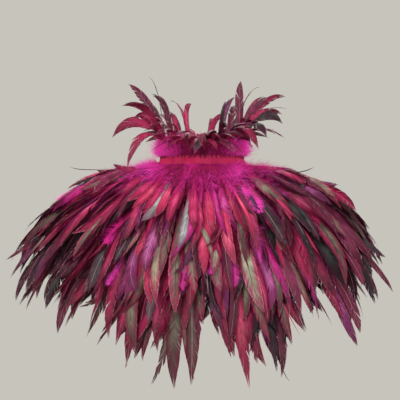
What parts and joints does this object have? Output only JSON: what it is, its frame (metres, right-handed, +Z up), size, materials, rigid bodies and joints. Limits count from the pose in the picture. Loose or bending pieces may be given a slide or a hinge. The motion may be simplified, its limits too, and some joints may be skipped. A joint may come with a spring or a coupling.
{
  "type": "feather cape",
  "caption": "Short cape of layered feathers with a standing feather collar, open down the wearer's front and closed at the neck by a hook and eye.",
  "frame": {"origin": "centre of the neck seam, level with its top at the back, where the wearer's neck and shoulders hold the cape", "axes": "+Z up, -Y the wearer's back and the side in the picture, +Y the wearer's front with the opening, +X the picture's right"},
  "size_m": [0.6827, 0.3818, 0.5119],
  "materials": {
    "ground_cloth": "matt",
    "collar_cloth": "matt",
    "binding_tape": "matt",
    "neck_feathers": "silky",
    "shoulder_feathers": "silky",
    "middle_feathers": "silky",
    "hem_feathers": "silky",
    "collar_plumes": "silky",
    "fastener_metal": "black enamel"
  },
  "bodies": {
    "root": {"yoke_back": "ground_cloth", "yoke_front_left": "ground_cloth", "yoke_front_right": "ground_cloth", "collar_stand": "collar_cloth", "neck_tape": "binding_tape", "feather_row_neck": "neck_feathers", "feather_row_shoulder": "shoulder_feathers", "feather_row_middle": "middle_feathers", "feather_row_hem": "hem_feathers", "collar_feathers": "collar_plumes", "hook": "fastener_metal", "eye": "fastener_metal"}
  },
  "joints": []
}
